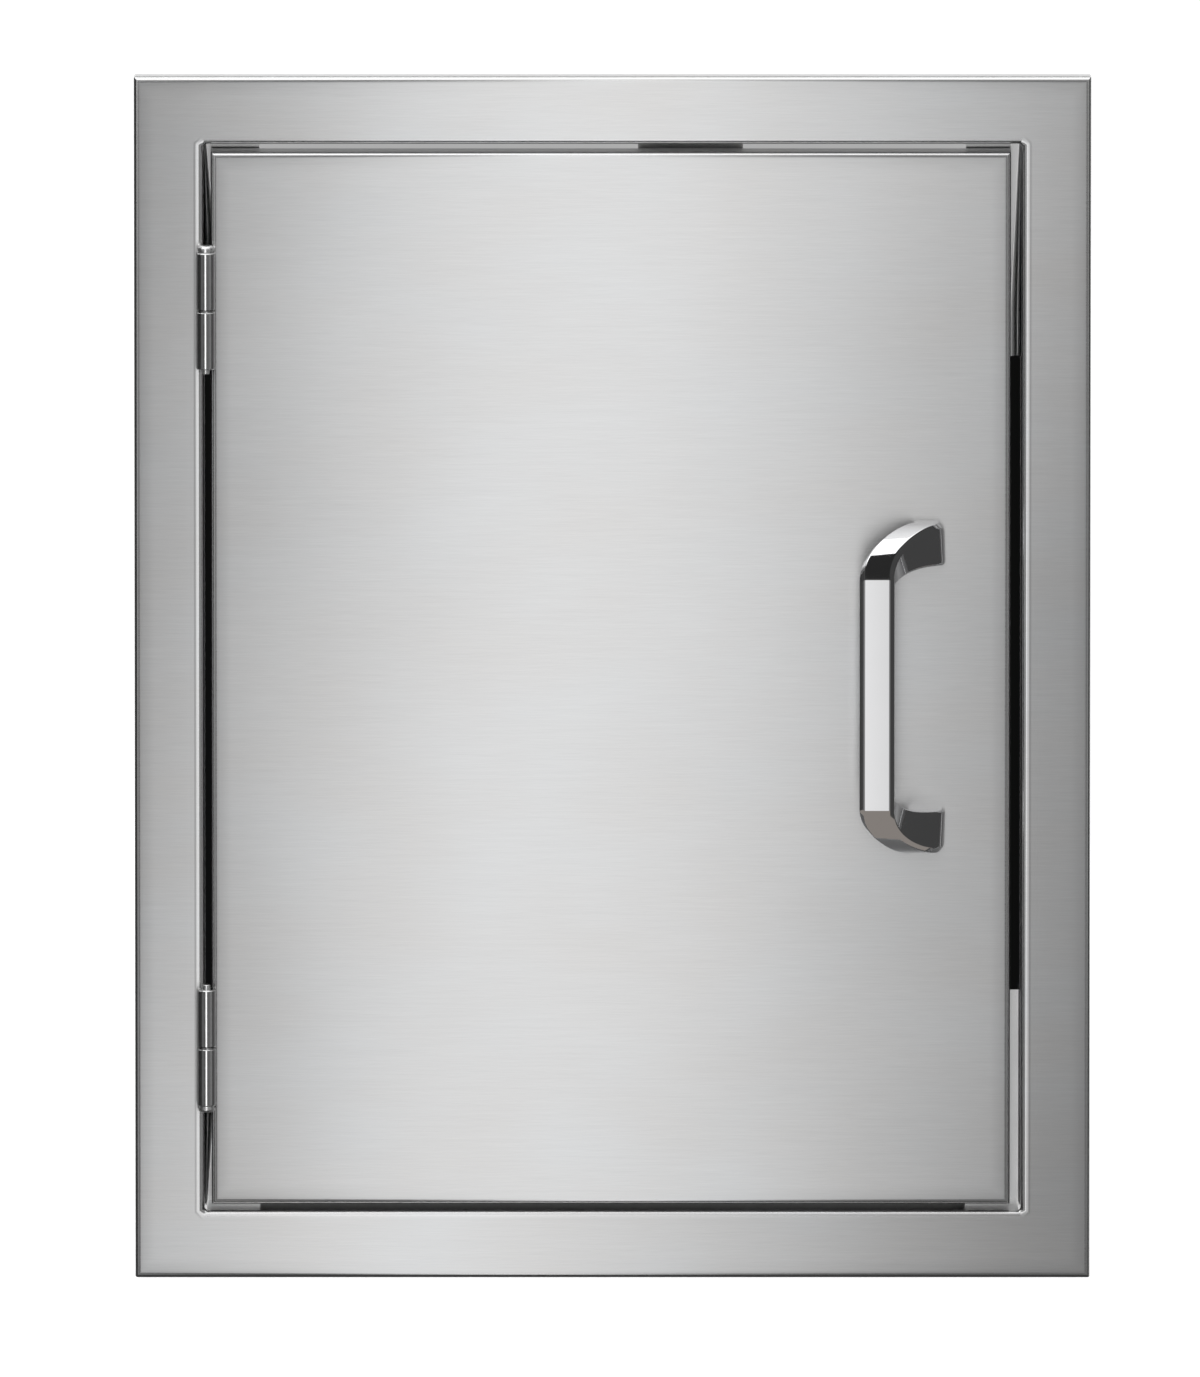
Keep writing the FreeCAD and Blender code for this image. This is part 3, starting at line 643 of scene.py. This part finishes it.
def dressHandle(values):
    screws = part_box("handle_screws")
    middle = (screws[0].z + screws[1].z) / 2
    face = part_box("door_skin")[0].y
    sections = [handleSection(values, step / values["steps"]) for step in range(values["steps"] + 1)]
    plinth = [Vector((place.x, 0, place.z)) for place in sections[0]]
    grip = [Vector((place.x, place.y, 0)) for place in sections[-1]]
    bm = bmesh.new()
    cornerOf = bm.verts.layers.int.new("corner")
    ring = bmesh.ops.create_circle(bm, segments=len(plinth), radius=1.0)["verts"]
    for number, vert in enumerate(ring):
        vert[cornerOf] = number
    loop = bm.edges[:]
    for number, section in enumerate([plinth] + sections + [grip]):
        if number:
            ring, loop = extrudeLoop(bm, loop)
        for vert in ring:
            place = section[vert[cornerOf]] * mm
            vert.co = (place.x, face - place.y, middle + place.z)
    ridges = [edge for edge in bm.edges if edge.verts[0][cornerOf] == edge.verts[1][cornerOf]]
    softenEdges(bm, ridges, values["edge"], values["edgeSteps"])
    away = values["onDoor"]
    footprint = [edge for edge in bm.edges if all(abs(vert.co.y - face) < away for vert in edge.verts)]
    bmesh.ops.holes_fill(bm, edges=footprint)
    bmesh.ops.mirror(
        bm, geom=bm.verts[:] + bm.edges[:] + bm.faces[:],
        matrix=Matrix.Translation((0, 0, -middle)), axis="Z", merge_dist=values["mirrorGap"],
    )
    bmesh.ops.remove_doubles(bm, verts=bm.verts, dist=values["weldGap"])
    bmesh.ops.recalc_face_normals(bm, faces=bm.faces)
    return finishPiece(bm, "castHandle", "handle_chrome", "door", ["handle"], values["sharpAngle"])


castHandle = dressHandle(handleValues)
print("handle dressed")


# Hinges: each leaf is welded to its sheet and ends in a turned knuckle round the pin

hingeValues = dict(
    chamfer=0.55 * mm, bore=2.45 * mm, segments=48, leaf=1.4 * mm, leafStart=5.6 * mm, sideGap=0.3 * mm,
    overlap=0.3 * mm, boreGap=0.6 * mm, edge=0.15 * mm, edgeSteps=2, edgeAngle=60, sharpAngle=40,
    tacks=4, tackRadius=1.6 * mm, tackShape=(0.5, 1, 1.3, 1), tackSink=0.5, tackDetail=2,
    weldGap=0.001 * mm,
)

def addKnuckle(bm, centre, radius, low, high, values):
    cut, bore = values["chamfer"], values["bore"]
    outline = [(bore, low), (radius - cut, low), (radius, low + cut)]
    outline += [(radius, high - cut), (radius - cut, high), (bore, high)]
    verts = [bm.verts.new((centre.x + out, centre.y, z)) for out, z in outline]
    edges = [bm.edges.new((verts[i], verts[i - 1])) for i in range(len(verts))]
    bmesh.ops.spin(
        bm, geom=verts + edges, cent=(centre.x, centre.y, 0), axis=(0, 0, 1), dvec=(0, 0, 0),
        angle=math.radians(360), steps=values["segments"], use_merge=True, use_duplicate=False,
    )


def dressHinge(end, values):
    pin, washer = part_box(end + "_hinge_pin"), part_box(end + "_hinge_washer")
    centre = (pin[0] + pin[1]) / 2
    for body in ("frame", "door"):
        node = end + "_hinge_" + body + "_leaf"
        low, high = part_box(node)
        if body == "frame":
            knuckle = (low.z, washer[0].z)
            x = (opening["left"], opening["left"] + values["leaf"])
        else:
            knuckle = (washer[1].z + values["sideGap"], high.z)
            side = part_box("door_skin")[0].x
            x = (side - values["leaf"], side)
        bm = bmesh.new()
        start = centre.y + values["leafStart"]
        addBlock(bm, x, (start, high.y), (low.z, high.z))
        addBlock(bm, x, (centre.y + values["bore"] + values["boreGap"], start + values["overlap"]), knuckle)
        softenEdges(bm, sharpEdges(bm, values["edgeAngle"]), values["edge"], values["edgeSteps"])
        # weld tacks along the leaf's rear edge
        radius = values["tackRadius"]
        shape = Matrix.Diagonal(values["tackShape"])
        for tack in range(values["tacks"]):
            z = low.z + (high.z - low.z) * (tack + 0.5) / values["tacks"]
            place = Matrix.Translation((sum(x) / 2, high.y - radius * values["tackSink"], z)) @ shape
            bmesh.ops.create_icosphere(bm, subdivisions=values["tackDetail"], radius=radius, matrix=place)
        addKnuckle(bm, centre, centre.y - low.y, *knuckle, values)
        bmesh.ops.remove_doubles(bm, verts=bm.verts, dist=values["weldGap"])
        bmesh.ops.recalc_face_normals(bm, faces=bm.faces)
        name = end + "Hinge" + body.capitalize() + "Leaf"
        yield finishPiece(bm, name, "hinge_stainless", body, [node], values["sharpAngle"])


hingeLeaves = [leaf for end in ("upper", "lower") for leaf in dressHinge(end, hingeValues)]
print("hinges dressed")


# Camera, as the photograph was taken: from the front, a little above and far away

viewValues = dict(
    distance=20.0, elevation=7.5, target=(-0.00636, -0.0127, -0.0050), height=0.6948, farthest=100,
)

def addCamera(values):
    made = bpy.data.objects.new("camera", bpy.data.cameras.new("camera"))
    bpy.context.scene.collection.objects.link(made)
    slope = math.radians(values["elevation"])
    back = Vector((0, -math.cos(slope), math.sin(slope)))
    made.location = Vector(values["target"]) + back * values["distance"]
    made.rotation_euler = (math.radians(90) - slope, 0, 0)
    made.data.lens = made.data.sensor_width * values["distance"] / values["height"]
    made.data.clip_end = values["farthest"]
    bpy.context.scene.camera = made


addCamera(viewValues)


# Studio: a pale floor, a white surround, and soft panels that only mirrored rays see

def addPlane(name, corners, material, **seen):
    bm = bmesh.new()
    bm.faces.new([bm.verts.new(corner) for corner in corners])
    mesh = bpy.data.meshes.new(name)
    bm.to_mesh(mesh)
    bm.free()
    mesh.materials.append(material)
    plane = bpy.data.objects.new(name, mesh)
    bpy.context.scene.collection.objects.link(plane)
    for key, value in seen.items():
        setattr(plane, "visible_" + key, value)
    return plane


def addPanel(name, corners, material, pieces=(), state="EXCLUDE"):
    # a soft lamp, which may leave some pieces out or light only those
    plane = addPlane(name, corners, material, camera=False, diffuse=False, shadow=False, transmission=False)
    if pieces:
        group = bpy.data.collections.new(name + "Receivers")
        for piece in pieces:
            group.objects.link(piece)
        plane.light_linking.receiver_collection = group
        for member in group.collection_objects:
            member.light_linking.link_state = state


def upright(box, y):
    left, right, bottom, top = [box[side] for side in ("left", "right", "bottom", "top")]
    return [(left, y, bottom), (right, y, bottom), (right, y, top), (left, y, top)]


def betweenEdges(reach, near, far):
    # from one level edge to another, each a depth and a height
    return [(-reach, *near), (reach, *near), (reach, *far), (-reach, *far)]


def addGlow(tree, level, colour=(1, 1, 1)):
    return addNode(tree, "ShaderNodeEmission", {"Color": (*colour, 1), "Strength": level}).outputs[0]


def joinShaders(tree, output, first, second):
    both = addNode(tree, "ShaderNodeAddShader", {0: first, 1: second})
    tree.links.new(both.outputs[0], output.inputs[0])


def addClearGlow(tree, output, level, colour=(1, 1, 1)):
    # light on top of whatever lies behind, so a piece that the light leaves out sees through it
    clear = addNode(tree, "ShaderNodeBsdfTransparent").outputs[0]
    joinShaders(tree, output, addGlow(tree, level, colour), clear)


floorValues = dict(reach=30, colour=(0.8, 0.8, 0.8, 1), glow=0.72)

def addFloor(values):
    material, tree, output = emptyMaterial("paleFloor")
    seen = addNode(tree, "ShaderNodeLightPath").outputs["Is Camera Ray"]
    matt = addNode(tree, "ShaderNodeBsdfDiffuse", {"Color": values["colour"]}).outputs[0]
    joinShaders(tree, output, matt, addGlow(tree, addMath(tree, "MULTIPLY", seen, values["glow"])))
    reach, level = values["reach"], cadBox[0].z
    addPlane("floor", betweenEdges(reach, (-reach, level), (reach, level)), material, glossy=False)


# the panel in front has one bright upright line, and levels from its left edge to its right
panelValues = dict(y=-0.95, reach=1.5, low=-0.95, top=0.75, fade=0.1)
sheetLamp = dict(
    step=0.0, middle=-0.03, leftSpread=0.122, rightSpread=0.172, peak=1.06,
    levels=[(0.0, 0.05), (0.13, 0.3), (0.25, 0.3), (0.38, 0.06), (0.65, 0.12), (0.87, 0.2), (1.0, 0.1)],
)
hingeLamp = dict(
    step=0.03, middle=-0.24, leftSpread=0.07, rightSpread=0.08, peak=2.6,
    levels=[(0.0, 0.1), (0.35, 0.1), (0.5, 0.14), (1.0, 0.16)],
)

def addFrontPanel(name, values, lamp, pieces, state):
    # brightest along one upright line, as a row of soft lamps behind a sheet would be
    material, tree, output = emptyMaterial(name)
    reach, top = values["reach"], values["top"]
    spot = objectParts(tree)
    offset = addMath(tree, "SUBTRACT", spot["X"], lamp["middle"])
    right = addMath(tree, "GREATER_THAN", offset, 0)
    spread = mapTo(tree, right, lamp["leftSpread"], lamp["rightSpread"], 0, 1)
    away = addMath(tree, "DIVIDE", offset, spread)
    bell = addMath(tree, "EXPONENT", addMath(tree, "MULTIPLY", addMath(tree, "MULTIPLY", away, away), -0.5))
    edge = rampOf(tree, mapTo(tree, spot["X"], 0, 1, -reach, reach), lamp["levels"])
    level = addMath(tree, "ADD", addMath(tree, "MULTIPLY", bell, lamp["peak"]), edge)
    fade = mapTo(tree, spot["Z"], 1, 0, top - values["fade"], top)
    addClearGlow(tree, output, addMath(tree, "MULTIPLY", level, fade))
    panel = dict(left=-reach, right=reach, bottom=values["low"], top=top)
    addPanel(name, upright(panel, values["y"] + lamp["step"])[::-1], material, pieces, state)


overheadValues = dict(x=(-0.9, 0.9), y=(-0.48, 0.5), z=1.3, glow=(1.7, 1.35), span=(-0.6, 0.5))

def addOverheadPanel(values):
    material, tree, output = emptyMaterial("overheadPanel")
    level = mapTo(tree, objectParts(tree)["X"], *values["glow"], *values["span"])
    tree.links.new(addGlow(tree, level), output.inputs[0])
    (left, right), (near, far), z = values["x"], values["y"], values["z"]
    addPanel("overheadPanel", [(left, near, z), (left, far, z), (right, far, z), (right, near, z)], material)


skyValues = dict(rise=(0.64, 0.98), faintest=0.25, glow=(1.5, 0.85), span=(-0.25, 0.25))

def addSkyPanel(values, front, overhead):
    # between those two, for the brushed sheet; the chrome's dark band is where it isn't seen
    material, tree, output = emptyMaterial("skyPanel")
    spot = objectParts(tree)
    rise = mapTo(tree, spot["Z"], values["faintest"], 1.0, *values["rise"])
    sideways = mapTo(tree, spot["X"], *values["glow"], *values["span"])
    addClearGlow(tree, output, addMath(tree, "MULTIPLY", rise, sideways))
    near, far = (front["y"], front["top"] - front["fade"]), (overhead["y"][0], overhead["z"])
    addPanel("skyPanel", betweenEdges(front["reach"], near, far), material, [castHandle])


def addPlainPanel(name, corners, colour, state):
    # one even tone, which leaves the handle out or lights nothing else
    material, tree, output = emptyMaterial(name)
    addClearGlow(tree, output, 1.0, colour)
    addPanel(name, corners, material, [castHandle], state)


cardValues = dict(z=-0.9, near=0.06, glow=(0.19, 0.168, 0.15))
wallValues = dict(x=1.1, back=-0.3, glow=(0.15, 0.15, 0.15))
rearValues = dict(y=1.3, left=-1.3, right=2.6, glow=(0.9, 0.9, 0.9))

def addPlainPanels(front, overhead, card, wall, rear):
    # a warm card, lying low in front, which only the handle shows
    corners = betweenEdges(front["reach"], (front["y"], card["z"]), (card["near"], card["z"]))
    addPlainPanel("warmCard", corners, card["glow"], "INCLUDE")
    # the sheet and the hinges show a grey wall on the right, the chrome a dark one
    x, near, far = wall["x"], front["y"], wall["back"]
    corners = [(x, near, card["z"]), (x, far, card["z"]), (x, far, front["top"]), (x, near, front["top"])]
    addPlainPanel("greyWall", corners, wall["glow"], "EXCLUDE")
    # a light panel far behind, for the rims of the sheet and for views from the back
    behind = dict(left=rear["left"], right=rear["right"], bottom=front["low"], top=overhead["z"])
    addPlainPanel("backPanel", upright(behind, rear["y"]), rear["glow"], "EXCLUDE")


# the painted light's rise is measured down from the opening's top, and the clear part out from the middle
shadeCardValues = dict(
    gap=1 * mm, paintedShadeLevel=0.004, paintedLightLevel=0.42, riseStart=106 * mm, riseEnd=30 * mm,
    clearX=(140 * mm, 175 * mm), clearZ=(205 * mm, 240 * mm),
)

def addPaintedShadeCard(values):
    # a card of painted shade in the hollow behind the door: black from the front, with painted light above
    # the door, and clear from behind
    material, tree, output = emptyMaterial("paintedShadeCard")
    spot = objectParts(tree)
    # painted light: the card's glow runs from near black up to grey towards the opening's top
    low, high = opening["top"] - values["riseStart"], opening["top"] - values["riseEnd"]
    level = mapTo(tree, spot["Z"], values["paintedShadeLevel"], values["paintedLightLevel"], low, high, "SMOOTHSTEP")
    behind = addNode(tree, "ShaderNodeNewGeometry").outputs["Backfacing"]
    # clear in its middle for what the liner mirrors, so that the door's back isn't black
    across = mapTo(tree, addMath(tree, "ABSOLUTE", spot["X"]), 1, 0, *values["clearX"])
    upwards = mapTo(tree, addMath(tree, "ABSOLUTE", spot["Z"]), 1, 0, *values["clearZ"])
    middle = addMath(tree, "MULTIPLY", across, upwards)
    mirrored = addNode(tree, "ShaderNodeLightPath").outputs["Is Glossy Ray"]
    seeThrough = addMath(tree, "MAXIMUM", behind, addMath(tree, "MULTIPLY", middle, mirrored))
    clear = addNode(tree, "ShaderNodeBsdfTransparent").outputs[0]
    both = addNode(tree, "ShaderNodeMixShader", {0: seeThrough, 1: addGlow(tree, level), 2: clear})
    tree.links.new(both.outputs[0], output.inputs[0])
    corners = upright(opening, cadBox[1].y + values["gap"])
    addPlane("paintedShadeCard", corners, material, diffuse=False, shadow=False, transmission=False)


# white for the camera, soft grey for matt pieces, and dark for mirrored rays, with an even floor
worldValues = dict(
    around=[(0.0, 0.03), (0.15, 0.08), (0.3, 0.02), (0.7, 0.02), (0.85, 0.05), (1.0, 0.05)],
    floorSpan=(-0.62, -0.42), floorGlow=0.05, diffuseGlow=0.55,
)

def addWorld(values):
    world = bpy.data.worlds.new("studio")
    bpy.context.scene.world = world
    world.use_nodes = True
    tree = world.node_tree
    tree.nodes.clear()
    path = addNode(tree, "ShaderNodeLightPath").outputs
    way = partsOf(tree, addNode(tree, "ShaderNodeTexCoord").outputs["Generated"])
    dark = rampOf(tree, mapTo(tree, way["X"], 0, 1, -1, 1), values["around"])
    low = mapTo(tree, way["Z"], 1, 0, *values["floorSpan"])
    mirrored = mixOf(tree, low, dark, values["floorGlow"])
    whole = mixOf(tree, path["Is Glossy Ray"], 1.0, mirrored)
    soft = mixOf(tree, path["Is Diffuse Ray"], whole, values["diffuseGlow"])
    background = addNode(tree, "ShaderNodeBackground", {"Color": soft, "Strength": 1.0})
    output = addNode(tree, "ShaderNodeOutputWorld")
    tree.links.new(background.outputs[0], output.inputs[0])


lampValues = dict(size=(1.6, 1.0), energy=14, place=(-0.4, -1.0, 1.6), tilt=30)

def addLamp(values):
    # gives the matt pieces and the floor their shadows
    lamp = bpy.data.lights.new("overhead", "AREA")
    lamp.shape = "RECTANGLE"
    lamp.size, lamp.size_y = values["size"]
    lamp.energy = values["energy"]
    lampObject = bpy.data.objects.new("overhead", lamp)
    bpy.context.scene.collection.objects.link(lampObject)
    lampObject.location = values["place"]
    lampObject.rotation_euler = (math.radians(values["tilt"]), 0, 0)
    lampObject.visible_camera = False
    lampObject.visible_glossy = False


hinges = hingeLeaves + [nodes[end + "_hinge_pin"] for end in ("upper", "lower")]
addFloor(floorValues)
# the round hinges show a narrower lamp, straight in front of them
addFrontPanel("softPanel", panelValues, sheetLamp, hinges, "EXCLUDE")
addFrontPanel("hingePanel", panelValues, hingeLamp, hinges, "INCLUDE")
addOverheadPanel(overheadValues)
addSkyPanel(skyValues, panelValues, overheadValues)
addPlainPanels(panelValues, overheadValues, cardValues, wallValues, rearValues)
addPaintedShadeCard(shadeCardValues)
addWorld(worldValues)
addLamp(lampValues)
bpy.context.scene.view_settings.view_transform = "Standard"

print("scene ready")
